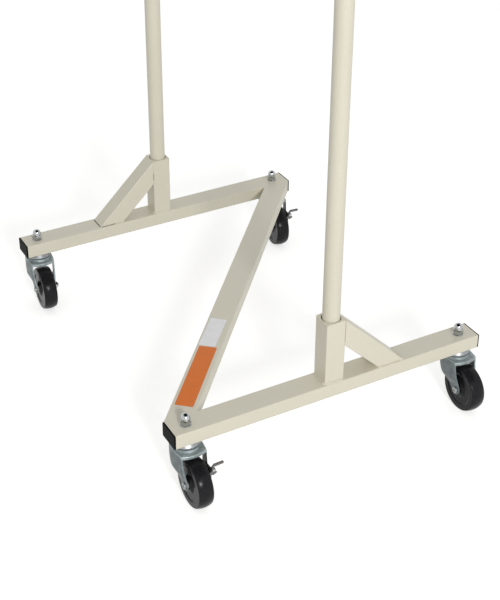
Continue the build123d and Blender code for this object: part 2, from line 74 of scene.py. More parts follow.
BRAKE_SIDE = 18 * MM  # a braked fork's leg and brake ear lie further out than this
CROWN_DEPTH = 13 * MM  # from a fork's top down to the rim of its crown
CROWN_FADE = 3 * MM  # height over which the legs' tone turns into the crown's painted light
CROWN_PAINTED_LIGHT = 2.9  # painted light on the crown's upward faces, as a multiple of the legs' brightness
EDGE_PAINTED_HIGHLIGHT = 2.2  # the same for the sheared edges
SHADED_ZINC_SHARE = 0.72  # painted shade: races and bolt heads, as a multiple of the nuts' brightness
FORK_SHADE = "#131314"  # painted shade on the forks' sides towards the wheel, also laid over the braked legs
ZINC_METAL = 0.55  # dull passivated plate answers light partly as a pigment would

GUSSET_FOOT = 58 * MM  # toe to heel on the rail
GUSSET_THROAT = 76 * MM  # rail to the gusset's lower edge on the post
GUSSET_TACK = 9 * MM  # how far a gusset's side welds run in from its corners
CORNER_GAP = 1.5 * MM  # a bead stops this far short of a tube's corner
EDGE_GAP = 2 * MM  # the diagonal's beads and the seams' painted shade stop this far short of an edge
MERGE = 0.01 * MM  # points closer than this are one


# --- colour and nodes -------------------------------------------------------
def linear(hex_colour):
    """An sRGB hex colour as the linear colour that Blender's sockets hold."""
    shares = (int(hex_colour[i:i + 2], 16) / 255 for i in (1, 3, 5))
    return tuple(s / 12.92 if s <= 0.04045 else ((s + 0.055) / 1.055) ** 2.4 for s in shares)


def rgba(colour):
    """A linear colour as the four numbers that a colour socket takes."""
    return (*colour[:3], 1.0)


def scaled(colour, share):
    """The same colour, made darker or lighter."""
    return tuple(min(1.0, part * share) for part in colour[:3])


def add_node(tree, kind, inputs=None, **settings):
    """A node with its settings, its values and the links that come into it."""
    made = tree.nodes.new(kind)
    for name, value in settings.items():
        setattr(made, name, value)
    for socket, value in (inputs or {}).items():
        if isinstance(value, bpy.types.NodeSocket):
            tree.links.new(value, made.inputs[socket])
        else:
            made.inputs[socket].default_value = value
    return made


def new_material(name):
    """A material with an empty node tree, and that tree."""
    material = bpy.data.materials.new(name)
    material.use_nodes = True
    material.node_tree.nodes.clear()
    return material, material.node_tree


def per_size(millimetres):
    """The noise scale whose patches are about this size, on coordinates in metres."""
    return 1 / (millimetres * MM)


# --- finishes ---------------------------------------------------------------
def powder_coat(name, colour):
    """Polyester powder coat, sprayed and baked on steel: satin, with a faint orange peel."""
    material, tree = new_material(name)
    place = add_node(tree, "ShaderNodeTexCoord").outputs["Object"]
    # film thickness varies over a hand's width, which the eye takes as a slight cloudiness
    cloud = add_node(tree, "ShaderNodeTexNoise",
                     {"Vector": place, "Scale": per_size(110), "Detail": 2.0})
    tint = add_node(tree, "ShaderNodeMix", {
        "Factor": cloud.outputs["Fac"],
        "A": rgba(scaled(colour, 0.955)),
        "B": rgba(scaled(colour, 1.03)),
    }, data_type="RGBA")
    # fine speckle where the powder's grains melted unevenly, drawn at 4 mm so that it shows
    grain = add_node(tree, "ShaderNodeTexNoise",
                     {"Vector": place, "Scale": per_size(4), "Detail": 3.0, "Roughness": 0.6})
    speckle = add_node(tree, "ShaderNodeMapRange", {
        "Value": grain.outputs["Fac"], "From Min": 0.3, "From Max": 0.7,
        "To Min": 0.975, "To Max": 1.02,
    })
    shade = add_node(tree, "ShaderNodeVectorMath", {
        0: tint.outputs["Result"], "Scale": speckle.outputs["Result"],
    }, operation="SCALE")
    gloss = add_node(tree, "ShaderNodeMapRange", {
        "Value": cloud.outputs["Fac"], "From Min": 0.3, "From Max": 0.7,
        "To Min": 0.34, "To Max": 0.44,
    })
    # the peel's dimples are 2 to 3 mm across on such tubes, and under 0.1 mm deep
    peel = add_node(tree, "ShaderNodeTexNoise",
                    {"Vector": place, "Scale": per_size(2.6), "Detail": 1.0})
    dimples = add_node(tree, "ShaderNodeBump",
                       {"Height": peel.outputs["Fac"], "Strength": 0.35, "Distance": 0.06 * MM})
    surface = add_node(tree, "ShaderNodeBsdfPrincipled", {
        "Base Color": shade.outputs["Vector"],
        "Roughness": gloss.outputs["Result"],
        "Normal": dimples.outputs["Normal"],
        "IOR": 1.5,
    })
    add_node(tree, "ShaderNodeOutputMaterial", {"Surface": surface.outputs["BSDF"]})
    return material


def caster_axes(caster):
    """The stem's place, and the ways across and behind it, from where the wheel stands."""
    stem_low, stem_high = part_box(f"{caster}_stem")
    wheel_low, wheel_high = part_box(f"{caster}_wheel")
    stem = (stem_low + stem_high) / 2
    trail = (wheel_low + wheel_high) / 2 - stem
    trail.z = 0
    trail.normalize()
    return stem, Vector((-trail.y, trail.x, 0)), trail


def fork_light_and_shade(tree, place, caster):
    """Painted light on a fork's crown top and sheared edges, painted shade on its sides that
    face the wheel, and the whole braked leg darkened.
    """
    stem, across, trail = caster_axes(caster)
    up = Vector((0, 0, 1))
    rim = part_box(f"{caster}_fork")[1].z - CROWN_DEPTH
    facing = add_node(tree, "ShaderNodeTexCoord").outputs["Normal"]
    facing_up, facing_back, facing_across = (
        add_node(tree, "ShaderNodeVectorMath", {0: facing, 1: way},
                 operation="DOT_PRODUCT").outputs["Value"]
        for way in (up, trail, across))

    # painted light on the crown's upward faces, drawn lighter than the legs
    height = add_node(tree, "ShaderNodeVectorMath", {0: place, 1: up},
                      operation="DOT_PRODUCT")
    crown = add_node(tree, "ShaderNodeMapRange", {
        "Value": height.outputs["Value"], "From Min": rim, "From Max": rim + CROWN_FADE,
    }).outputs["Result"]
    level = add_node(tree, "ShaderNodeMapRange", {
        "Value": facing_up, "From Min": 0.2, "From Max": 0.6,
    })
    top = add_node(tree, "ShaderNodeMath", {0: crown, 1: level.outputs["Result"]},
                   operation="MULTIPLY")
    crown_light = add_node(tree, "ShaderNodeMapRange", {
        "Value": top.outputs[0], "To Min": 1.0, "To Max": CROWN_PAINTED_LIGHT,
    })
    # and a painted highlight on the sheared edges, which face away from the stem
    edge_light = add_node(tree, "ShaderNodeMapRange", {
        "Value": facing_back, "From Min": 0.6, "From Max": 0.9,
        "To Min": 1.0, "To Max": EDGE_PAINTED_HIGHLIGHT,
    })
    light = add_node(tree, "ShaderNodeMath", {
        0: edge_light.outputs["Result"], 1: crown_light.outputs["Result"],
    }, operation="MAXIMUM").outputs[0]

    # painted shade on the sides that look at the wheel
    from_stem = add_node(tree, "ShaderNodeVectorMath", {0: place, 1: stem},
                         operation="SUBTRACT")
    aside = add_node(tree, "ShaderNodeVectorMath", {0: from_stem.outputs["Vector"], 1: across},
                     operation="DOT_PRODUCT").outputs["Value"]
    half = add_node(tree, "ShaderNodeMath", {0: aside}, operation="SIGN")
    facing_out = add_node(tree, "ShaderNodeMath", {0: facing_across, 1: half.outputs[0]},
                          operation="MULTIPLY")
    shade_and_brake_dark = add_node(tree, "ShaderNodeMapRange", {
        "Value": facing_out.outputs[0], "From Min": -0.3, "From Max": -0.7,
    }).outputs["Result"]
    if caster in BRAKED:
        # the whole of a braked leg is darkened as well
        by_brake = add_node(tree, "ShaderNodeMath", {0: aside, 1: BRAKE_SIDE},
                            operation="GREATER_THAN")
        shade_and_brake_dark = add_node(tree, "ShaderNodeMath", {0: shade_and_brake_dark, 1: by_brake.outputs[0]},
                        operation="MAXIMUM").outputs[0]
    below = add_node(tree, "ShaderNodeMath", {0: 1.0, 1: crown}, operation="SUBTRACT")
    return light, add_node(tree, "ShaderNodeMath", {0: shade_and_brake_dark, 1: below.outputs[0]},
                           operation="MULTIPLY").outputs[0]


def pressed_zinc(name, colour, caster=None):
    """Zinc-plated sheet steel, pressed to shape: cloudy blue-grey with drawn scuffs."""
    material, tree = new_material(name)
    place = add_node(tree, "ShaderNodeTexCoord").outputs["Object"]
    # passivated zinc turns patchy, in clouds the size of a fingertip
    cloud = add_node(tree, "ShaderNodeTexNoise", {
        "Vector": place, "Scale": per_size(13), "Detail": 3.0, "Roughness": 0.55,
    })
    tone = add_node(tree, "ShaderNodeMapRange", {
        "Value": cloud.outputs["Fac"], "From Min": 0.32, "From Max": 0.68,
    })
    tint = add_node(tree, "ShaderNodeMix", {
        "Factor": tone.outputs["Result"],
        "A": rgba(scaled(colour, 0.78)),
        "B": rgba(scaled(colour, 1.22)),
    }, data_type="RGBA").outputs["Result"]
    if caster:
        # painted light on the crown and sheared edges, and painted shade towards the wheel; the
        # shaded parts lose their metal
        light, shade_and_brake_dark = fork_light_and_shade(tree, place, caster)
        tint = add_node(tree, "ShaderNodeVectorMath", {0: tint, "Scale": light},
                        operation="SCALE").outputs["Vector"]
        tint = add_node(tree, "ShaderNodeMix", {
            "Factor": shade_and_brake_dark, "A": tint, "B": rgba(linear(FORK_SHADE)),
        }, data_type="RGBA").outputs["Result"]
        metal = add_node(tree, "ShaderNodeMapRange", {
            "Value": shade_and_brake_dark, "To Min": ZINC_METAL, "To Max": 0.0,
        }).outputs["Result"]
    else:
        metal = ZINC_METAL
    gloss = add_node(tree, "ShaderNodeMapRange", {
        "Value": cloud.outputs["Fac"], "From Min": 0.3, "From Max": 0.7,
        "To Min": 0.5, "To Max": 0.38,
    })
    # the press drags the sheet upright through the die: scuffs 1 mm wide, 12 mm long
    drawn = add_node(tree, "ShaderNodeMapping",
                     {"Vector": place, "Scale": (1.0, 1.0, 0.08)})
    scuffs = add_node(tree, "ShaderNodeTexNoise", {
        "Vector": drawn.outputs["Vector"], "Scale": per_size(1.0), "Detail": 2.0,
    })
    marks = add_node(tree, "ShaderNodeBump",
                     {"Height": scuffs.outputs["Fac"], "Strength": 0.3, "Distance": 0.05 * MM})
    surface = add_node(tree, "ShaderNodeBsdfPrincipled", {
        "Base Color": tint,
        "Metallic": metal,
        "Roughness": gloss.outputs["Result"],
        "Normal": marks.outputs["Normal"],
    })
    add_node(tree, "ShaderNodeOutputMaterial", {"Surface": surface.outputs["BSDF"]})
    return material


def bright_zinc(name, colour, rough, smooth):
    """Bright zinc plate on turned and forged steel: almost a mirror, dulled by handling."""
    material, tree = new_material(name)
    place = add_node(tree, "ShaderNodeTexCoord").outputs["Object"]
    # the plate dulls in spots of a few millimetres
    spots = add_node(tree, "ShaderNodeTexNoise", {
        "Vector": place, "Scale": per_size(5), "Detail": 2.0, "Roughness": 0.5,
    })
    tint = add_node(tree, "ShaderNodeMix", {
        "Factor": spots.outputs["Fac"],
        "A": rgba(scaled(colour, 0.78)),
        "B": rgba(scaled(colour, 1.12)),
    }, data_type="RGBA")
    gloss = add_node(tree, "ShaderNodeMapRange", {
        "Value": spots.outputs["Fac"], "From Min": 0.3, "From Max": 0.7,
        "To Min": rough, "To Max": smooth,
    })
    surface = add_node(tree, "ShaderNodeBsdfPrincipled", {
        "Base Color": tint.outputs["Result"],
        "Metallic": 1.0,
        "Roughness": gloss.outputs["Result"],
    })
    add_node(tree, "ShaderNodeOutputMaterial", {"Surface": surface.outputs["BSDF"]})
    return material


def hard_rubber(name, colour):
    """Hard vulcanised rubber from a polished mould: black with a soft sheen and floor dust."""
    material, tree = new_material(name)
    place = add_node(tree, "ShaderNodeTexCoord").outputs["Object"]
    # dust and scuffs picked up from the floor, in patches of a few millimetres
    dust = add_node(tree, "ShaderNodeTexNoise", {
        "Vector": place, "Scale": per_size(9), "Detail": 4.0, "Roughness": 0.65,
    })
    veil = add_node(tree, "ShaderNodeMapRange", {
        "Value": dust.outputs["Fac"], "From Min": 0.42, "From Max": 0.75,
        "To Min": 0.0, "To Max": 0.35,
    })
    tint = add_node(tree, "ShaderNodeMix", {
        "Factor": veil.outputs["Result"],
        "A": rgba(colour),
        "B": rgba(scaled(colour, 2.6)),
    }, data_type="RGBA")
    gloss = add_node(tree, "ShaderNodeMapRange", {
        "Value": dust.outputs["Fac"], "From Min": 0.3, "From Max": 0.7,
        "To Min": 0.16, "To Max": 0.3,
    })
    # moulded skin, with grains near 1 mm
    skin = add_node(tree, "ShaderNodeTexNoise",
                    {"Vector": place, "Scale": per_size(1.2), "Detail": 2.0})
    relief = add_node(tree, "ShaderNodeBump",
                      {"Height": skin.outputs["Fac"], "Strength": 0.25, "Distance": 0.05 * MM})
    surface = add_node(tree, "ShaderNodeBsdfPrincipled", {
        "Base Color": tint.outputs["Result"],
        "Roughness": gloss.outputs["Result"],
        "Normal": relief.outputs["Normal"],
        "IOR": 1.52,
        "Specular IOR Level": 0.11,
    })
    add_node(tree, "ShaderNodeOutputMaterial", {"Surface": surface.outputs["BSDF"]})
    return material


def moulded_plastic(name, colour, grain_mm):
    """Injection-moulded polymer with a spark-eroded grain: matt, even, slightly stippled."""
    material, tree = new_material(name)
    place = add_node(tree, "ShaderNodeTexCoord").outputs["Object"]
    # the mould's grain is about 0.3 mm and is drawn coarser so that it shows
    stipple = add_node(tree, "ShaderNodeTexVoronoi",
                       {"Vector": place, "Scale": per_size(grain_mm)})
    tint = add_node(tree, "ShaderNodeMix", {
        "Factor": stipple.outputs["Distance"],
        "A": rgba(scaled(colour, 0.85)),
        "B": rgba(scaled(colour, 1.2)),
    }, data_type="RGBA")
    relief = add_node(tree, "ShaderNodeBump", {
        "Height": stipple.outputs["Distance"], "Strength": 0.3, "Distance": 0.06 * MM,
    })
    surface = add_node(tree, "ShaderNodeBsdfPrincipled", {
        "Base Color": tint.outputs["Result"],
        "Roughness": 0.5,
        "Normal": relief.outputs["Normal"],
        "IOR": 1.49,
        "Specular IOR Level": 0.03,
    })
    add_node(tree, "ShaderNodeOutputMaterial", {"Surface": surface.outputs["BSDF"]})
    return material


def label_vinyl(name, colour):
    """Printed self-adhesive vinyl, blank: flat colour under a thin clear film."""
    material, tree = new_material(name)
    place = add_node(tree, "ShaderNodeTexCoord").outputs["Object"]
    # ink laid down a little unevenly, and grime rubbed in, over a finger's width
    cloud = add_node(tree, "ShaderNodeTexNoise", {
        "Vector": place, "Scale": per_size(22), "Detail": 3.0, "Roughness": 0.6,
    })
    tint = add_node(tree, "ShaderNodeMix", {
        "Factor": cloud.outputs["Fac"],
        "A": rgba(scaled(colour, 0.9)),
        "B": rgba(scaled(colour, 1.06)),
    }, data_type="RGBA")
    # the film's leather-like ripple, 3 mm across
    ripple = add_node(tree, "ShaderNodeTexNoise",
                      {"Vector": place, "Scale": per_size(3.2), "Detail": 1.0})
    relief = add_node(tree, "ShaderNodeBump",
                      {"Height": ripple.outputs["Fac"], "Strength": 0.25,
                       "Distance": 0.05 * MM})
    surface = add_node(tree, "ShaderNodeBsdfPrincipled", {
        "Base Color": tint.outputs["Result"],
        "Roughness": 0.4,
        "Normal": relief.outputs["Normal"],
        "IOR": 1.53,
        "Specular IOR Level": 0.3,
    })
    add_node(tree, "ShaderNodeOutputMaterial", {"Surface": surface.outputs["BSDF"]})
    return material


def shaded_seam_finish(name, colour):
    """Painted shade for an open seam: a matt, brown-black and crumbly strip."""
    material, tree = new_material(name)
    place = add_node(tree, "ShaderNodeTexCoord").outputs["Object"]
    # flecks near 1 mm, some of them paler
    crumbs = add_node(tree, "ShaderNodeTexNoise", {
        "Vector": place, "Scale": per_size(1.5), "Detail": 3.0, "Roughness": 0.7,
    })
    tint = add_node(tree, "ShaderNodeMix", {
        "Factor": crumbs.outputs["Fac"],
        "A": rgba(scaled(colour, 0.6)),
        "B": rgba(scaled(colour, 1.6)),
    }, data_type="RGBA")
    surface = add_node(tree, "ShaderNodeBsdfPrincipled", {
        "Base Color": tint.outputs["Result"],
        "Roughness": 0.85,
        "IOR": 1.5,
        "Specular IOR Level": 0.2,
    })
    add_node(tree, "ShaderNodeOutputMaterial", {"Surface": surface.outputs["BSDF"]})
    return material


def dress(names, material):
    """Gives CAD nodes their finish."""
    for name in names:
        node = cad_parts[name]
        for slot in node.material_slots:
            slot.material = material


# --- modelling helpers ------------------------------------------------------
def deselect_all():
    """Leaves edit mode and selects nothing, as the CAD nodes come in selected."""
    if bpy.context.object and bpy.context.object.mode != "OBJECT":
        bpy.ops.object.mode_set(mode="OBJECT")
    bpy.ops.object.select_all(action="DESELECT")


def only(piece):
    """Selects one piece and nothing else."""
    deselect_all()
    piece.select_set(True)
    bpy.context.view_layer.objects.active = piece


def select_points(piece, keep):
    """In edit mode, leaves selected the points whose place passes the test."""
    bpy.ops.mesh.select_mode(type="VERT")
    bpy.ops.mesh.select_all(action="DESELECT")
    bpy.ops.object.mode_set(mode="OBJECT")
    for point in piece.data.vertices:
        point.select = keep(point.co)
    bpy.ops.object.mode_set(mode="EDIT")


def apply_modifier(piece, kind, **settings):
    """Adds a modifier with its settings and works it into the mesh."""
    modifier = piece.modifiers.new(kind.lower(), kind)
    for name, value in settings.items():
        setattr(modifier, name, value)
    only(piece)
    bpy.ops.object.modifier_apply(modifier=modifier.name)


def settle(piece):
    """Puts the piece's place into its mesh, so its object sits at the origin."""
    only(piece)
    bpy.ops.object.transform_apply(location=True, rotation=True, scale=True)


def clouds(name, size):
    """A soft noise that Displace reads, with patches of about this size."""
    texture = bpy.data.textures.new(name, "CLOUDS")
    texture.noise_scale = size
    return texture


def brace_frame():
    """The diagonal's middle on its top face, its direction and the direction across it."""
    low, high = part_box("diagonal_brace")
    rail_low, rail_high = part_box("near_rail")
    width = rail_high.y - rail_low.y
    reach_x, reach_y = high.x - low.x, high.y - low.y
    lean = acos(width / hypot(reach_x, reach_y)) - atan2(reach_y, reach_x)
    middle = Vector(((low.x + high.x) / 2, (low.y + high.y) / 2, high.z))
    along = Vector((sin(lean), cos(lean), 0))
    return middle, along, Vector((-along.y, along.x, 0)), width


# --- settings ---------------------------------------------------------------
def length_setting(name, description, millimetres):
    return bpy.props.FloatProperty(
        name=name, description=description, default=millimetres * MM,
        subtype="DISTANCE", unit="LENGTH", min=0.0, precision=5,
    )


def place_setting(name, description, millimetres):
    return bpy.props.FloatProperty(
        name=name, description=description, default=millimetres * MM,
        subtype="DISTANCE", unit="LENGTH", precision=5,
    )


def colour_setting(name, description, hex_colour):
    return bpy.props.FloatVectorProperty(
        name=name, description=description, default=linear(hex_colour),
        subtype="COLOR", size=3, min=0.0, max=1.0,
    )


def angle_setting(name, description, degrees):
    return bpy.props.FloatProperty(
        name=name, description=description, default=radians(degrees), subtype="ANGLE",
    )


def level_setting(name, description, value):
    return bpy.props.FloatProperty(name=name, description=description, default=value, min=0.0)


class RackFinishes(bpy.types.PropertyGroup):
    """Colours of the rack's own surfaces."""

    paint: colour_setting("Paint", "Powder coat on all frame tubes", "#d9d4c2")
    zinc: colour_setting("Pressed zinc", "Forks", "#676f70")
    lever: colour_setting("Lever plate", "Brake levers", "#6e6c6c")
    bright: colour_setting("Bright zinc", "Nuts, washers, races, bolts and pins", "#b9bcbd")
    rubber: colour_setting("Rubber", "Wheels", "#1c1c1e")
    caps: colour_setting("Caps", "Tube end caps", "#0e0e0e")
    nylon: colour_setting("Nylon", "Hub bushes and hang rail inserts", "#b4b3ac")


class RackLabels(bpy.types.PropertyGroup):
    """Two blank stickers on the diagonal's top."""

    film: length_setting("Film", "Thickness of the sticker", 0.14)
    lift: length_setting("Glue line", "Gap between paint and sticker", 0.03)
    corner: length_setting("Corner", "Rounding of the stickers' corners", 2.0)
    curl: length_setting("Curl", "How far one loose corner stands up", 0.7)
    curl_reach: length_setting("Curl reach", "How far the loose corner's curl runs in", 12.0)
    orange_colour: colour_setting("Orange", "Orange sticker", "#e2741f")
    orange_length: length_setting("Orange length", "Along the diagonal", 192.0)
    orange_width: length_setting("Orange width", "Across the diagonal", 35.5)
    orange_along: place_setting("Orange along", "Its middle, from the diagonal's", -334.0)
    orange_across: place_setting("Orange across", "Its middle, left of the centre line", 1.0)
    white_colour: colour_setting("White", "White sticker", "#f0eff1")
    white_length: length_setting("White length", "Along the diagonal", 96.0)
    white_width: length_setting("White width", "Across the diagonal", 34.0)
    white_along: place_setting("White along", "Its middle, from the diagonal's", -187.0)
    white_across: place_setting("White across", "Its middle, left of the centre line", 4.0)
    white_turn: angle_setting("White turn", "How crooked it was stuck on", -1.2)


class RackWelds(bpy.types.PropertyGroup):
    """Welds under the paint, and the seams left open."""

    post_bead: length_setting("Post bead", "Radius of the weld round a post's foot", 2.6)
    gusset_bead: length_setting("Gusset bead", "Radius of the weld at a gusset's ends", 2.0)
    brace_bead: length_setting("Brace bead", "Radius of the weld at the diagonal's ends", 2.8)
    ripple: length_setting("Ripple", "Spacing of a weld's ripples", 1.8)
    unevenness: length_setting("Unevenness", "How far a bead swells and sinks", 0.9)
    seam_width: length_setting("Seam width", "Ground-off weld on the diagonal's mitres", 4.5)
    seam_proud: length_setting("Seam height", "How far the ground weld stands up", 0.04)
    open_seam: length_setting("Open seam", "Half the width of an unwelded seam's painted shade", 0.9)
    open_run: length_setting("Open run", "Length left unwelded beside the toe", 36.0)
    seam_shade_colour: colour_setting("Seam shade colour", "Painted shade in the unwelded seams", "#3a342a")


class RackStudio(bpy.types.PropertyGroup):
    """Camera, lamps and floor."""

    target_across: place_setting(
        "Target across", "View's middle, right of the diagonal's", 122.5)
    target_back: place_setting("Target back", "View's middle, behind the diagonal's", 215.9)
    azimuth: angle_setting("Azimuth", "Camera's turn from square on", -28.32)
    elevation: angle_setting("Elevation", "Camera's height above level", 29.69)
    distance: length_setting("Distance", "Camera to the view's middle", 2940.0)
    lens: level_setting("Lens", "Focal length in millimetres", 77.4)
    drop: bpy.props.FloatProperty(
        name="Drop", description="Vertical shift of the view", default=-0.125)
    aside: bpy.props.FloatProperty(
        name="Aside", description="Sideways shift of the view", default=0.0207)
    room: level_setting("Room light", "Even light from all round", 0.5)
    key: level_setting("Key light", "Soft lamp in front, to the left, in watts", 132.0)
    key_turn: angle_setting("Key turn", "Key lamp's turn from square on", -13.0)
    key_height: angle_setting("Key height", "Key lamp's height above level", 25.0)
    key_distance: length_setting("Key distance", "Key lamp to the near post", 5000.0)
    key_size: length_setting("Key size", "Width of the key lamp", 850.0)
    back: level_setting("Back light", "Weak light from behind", 0.2)
    back_turn: angle_setting("Back turn", "Back light's turn from square on", 165.0)
    back_height: angle_setting("Back height", "Back light's height above level", 10.0)
    back_spread: angle_setting("Back spread", "How wide the back light looks", 60.0)
    flag_height: length_setting("Flag height", "Black cloth above the rack", 1500.0)
    flag_size: length_setting("Flag size", "Width of the black cloth", 2600.0)
    floor_size: length_setting("Floor size", "Width of the floor", 60000.0)
    floor_colour: colour_setting("Floor", "Pale floor", "#e2e2e0")
    floor_lift: level_setting("Floor lift", "Own brightness of the floor", 0.56)


# --- operators: finishes ----------------------------------------------------
class RACK_OT_coat_frame(bpy.types.Operator):
    """Powder-coats the rails, diagonal, posts, gussets, uprights and hang rail"""

    bl_idname = "rack.coat_frame"
    bl_label = "Powder-coat the frame"

    def execute(self, context):
        dress(FRAME_TUBES, powder_coat("beige powder coat", context.scene.rack_finishes.paint))
        return {"FINISHED"}


class RACK_OT_plate_forks(bpy.types.Operator):
    """Zinc-plates the pressed forks and the brake levers"""

    bl_idname = "rack.plate_forks"
    bl_label = "Plate forks and levers"

    def execute(self, context):
        finishes = context.scene.rack_finishes
        for caster in CASTERS:
            name = f"{caster} pressed zinc plate"
            dress([f"{caster}_fork"], pressed_zinc(name, finishes.zinc, caster))
        levers = [f"{caster}_brake_lever" for caster in BRAKED]
        dress(levers, pressed_zinc("dull lever plate", finishes.lever))
        return {"FINISHED"}


class RACK_OT_plate_hardware(bpy.types.Operator):
    """Gives nuts, washers, races, balls, stems, bolts and pins their bright plate"""

    bl_idname = "rack.plate_hardware"
    bl_label = "Plate the hardware"

    def execute(self, context):
        bright = context.scene.rack_finishes.bright
        parts = ("race_balls", "stem", "axle_nut")
        names = [f"{caster}_{part}" for caster in CASTERS for part in parts]
        names += [f"{caster}_brake_pin" for caster in BRAKED]
        names += ["nut_washers", "hang_rail_bolts"]
        dress(names, bright_zinc("bright zinc plate", bright, rough=0.3, smooth=0.18))
        dress(["dome_nuts"],
              bright_zinc("polished zinc plate", bright, rough=0.16, smooth=0.1))
        # races and axle bolts: a rougher copy of the bright zinc, darkened as painted shade
        parts = ("upper_race", "axle_bolt")
        names = [f"{caster}_{part}" for caster in CASTERS for part in parts]
        dress(names, bright_zinc("rougher zinc plate with painted shade", scaled(bright, SHADED_ZINC_SHARE),
                                 rough=0.46, smooth=0.36))
        return {"FINISHED"}


class RACK_OT_finish_wheels(bpy.types.Operator):
    """Gives the wheels their moulded rubber"""

    bl_idname = "rack.finish_wheels"
    bl_label = "Finish the wheels"

    def execute(self, context):
        names = [f"{caster}_wheel" for caster in CASTERS]
        dress(names, hard_rubber("hard vulcanised rubber", context.scene.rack_finishes.rubber))
        return {"FINISHED"}


class RACK_OT_finish_caps(bpy.types.Operator):
    """Gives the tube end caps their moulded polypropylene"""

    bl_idname = "rack.finish_caps"
    bl_label = "Finish the end caps"

    def execute(self, context):
        caps = context.scene.rack_finishes.caps
        dress(END_CAPS, moulded_plastic("moulded black polypropylene", caps, grain_mm=1.4))
        return {"FINISHED"}


class RACK_OT_finish_nylon(bpy.types.Operator):
    """Gives the hub bushes and the hang rail's inserts their nylon"""

    bl_idname = "rack.finish_nylon"
    bl_label = "Finish the nylon parts"

    def execute(self, context):
        names = [f"{caster}_hub_bush" for caster in CASTERS] + ["hang_rail_inserts"]
        nylon = context.scene.rack_finishes.nylon
        dress(names, moulded_plastic("moulded grey nylon", nylon, grain_mm=1.0))
        return {"FINISHED"}


# --- operators: labels ------------------------------------------------------
def stick_label(name, size, place, turn, loose_corner, colour):
    """A blank sticker on the diagonal's top, with rounded corners and one loose corner."""
    labels = bpy.context.scene.rack_labels
    length, width = size
    middle, along, across, _ = brace_frame()
    cell = 4 * MM  # fine enough for the curl
    corner_cell = 3 * MM  # what is lifted lies this close to the loose corner
    deselect_all()
    bpy.ops.mesh.primitive_grid_add(
        x_subdivisions=round(length / cell), y_subdivisions=round(width / cell), size=1)
    label = bpy.context.object
    label.name = label.data.name = name
    bpy.ops.object.mode_set(mode="EDIT")
    bpy.ops.mesh.select_all(action="SELECT")
    bpy.ops.transform.resize(value=(length, width, 1))
    select_points(label, lambda p: abs(abs(p.x) - length / 2) < MERGE
                  and abs(abs(p.y) - width / 2) < MERGE)
    bpy.ops.mesh.bevel(offset=labels.corner, segments=5, affect="VERTICES")
    side_x, side_y = loose_corner
    select_points(label, lambda p: side_x * p.x > length / 2 - corner_cell
                  and side_y * p.y > width / 2 - corner_cell)
    bpy.ops.transform.translate(
        value=(0, 0, labels.curl), use_proportional_edit=True,
        proportional_edit_falloff="SMOOTH", proportional_size=labels.curl_reach)
    bpy.ops.object.mode_set(mode="OBJECT")
    # the film follows the paint's unevenness
    apply_modifier(label, "DISPLACE", texture=clouds(name + "_ripple", 14 * MM),
                   strength=0.06 * MM, mid_level=0.0, direction="Z")
    apply_modifier(label, "SOLIDIFY", thickness=labels.film, offset=1.0)
    apply_modifier(label, "BEVEL", width=labels.film / 4, segments=2, limit_method="ANGLE")
    label.location = middle + along * place[0] + across * place[1] + Vector((0, 0, labels.lift))
    label.rotation_euler = (0, 0, atan2(along.y, along.x) + turn)
    settle(label)
    bpy.ops.object.shade_smooth_by_angle(angle=radians(40))
    label.data.materials.append(label_vinyl(name + " vinyl", colour))
    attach(label, BASE)


class RACK_OT_orange_label(bpy.types.Operator):
    """Sticks the blank orange label on the diagonal"""

    bl_idname = "rack.orange_label"
    bl_label = "Orange label"

    def execute(self, context):
        labels = context.scene.rack_labels
        stick_label(
            "orange_label", (labels.orange_length, labels.orange_width),
            (labels.orange_along, labels.orange_across), 0.0, (-1, -1), labels.orange_colour)
        return {"FINISHED"}


class RACK_OT_white_label(bpy.types.Operator):
    """Sticks the blank white label on the diagonal"""

    bl_idname = "rack.white_label"
    bl_label = "White label"

    def execute(self, context):
        labels = context.scene.rack_labels
        stick_label(
            "white_label", (labels.white_length, labels.white_width),
            (labels.white_along, labels.white_across), labels.white_turn, (1, 1),
            labels.white_colour)
        return {"FINISHED"}


# --- operators: welds -------------------------------------------------------
def weld_bead(start, end, radius):
    """One weld along a seam: a rippled bead with tapered, closed ends."""
    run = Vector(end) - Vector(start)
    taper = radius
    body = run.length - 2 * taper
    ripples = max(2, round(body / bpy.context.scene.rack_welds.ripple))
    pitch = body / ripples
    deselect_all()
    bpy.ops.mesh.primitive_cylinder_add(
        vertices=14, radius=radius, depth=pitch, end_fill_type="NOTHING",
        location=(0, 0, pitch / 2))
    bead = bpy.context.object
    settle(bead)
    bpy.ops.object.mode_set(mode="EDIT")
    bpy.ops.mesh.select_all(action="SELECT")
    # each ripple is fattest past its middle, where the molten steel piled up
    bpy.ops.mesh.bisect(plane_co=(0, 0, pitch * 0.6), plane_no=(0, 0, 1))
    bpy.ops.transform.resize(value=(1.14, 1.14, 1))
    bpy.ops.object.mode_set(mode="OBJECT")
    apply_modifier(bead, "ARRAY", count=ripples, relative_offset_displace=(0, 0, 1),
                   use_merge_vertices=True, merge_threshold=MERGE)
    bpy.ops.object.mode_set(mode="EDIT")
    for rim, way in ((0.0, -1), (body, 1)):
        select_points(bead, lambda p: abs(p.z - rim) < MERGE)
        # the end rounds off over its taper, ring by ring, and closes in one point
        for share, narrowing in ((0.6, 0.72), (0.3, 0.4)):
            bpy.ops.mesh.extrude_edges_move(
                TRANSFORM_OT_translate={"value": (0, 0, way * taper * share)})
            bpy.ops.transform.resize(value=(narrowing, narrowing, 1))
        bpy.ops.mesh.extrude_edges_move(
            TRANSFORM_OT_translate={"value": (0, 0, way * taper * 0.1)})
        bpy.ops.mesh.merge(type="CENTER")
    bpy.ops.mesh.select_all(action="SELECT")
    bpy.ops.mesh.normals_make_consistent(inside=False)
    bpy.ops.object.mode_set(mode="OBJECT")
    turn = run.to_track_quat("Z", "Y").to_matrix().to_4x4()
    inset = run.normalized() * taper
    bead.matrix_world = Matrix.Translation(Vector(start) + inset) @ turn
    settle(bead)
    return bead


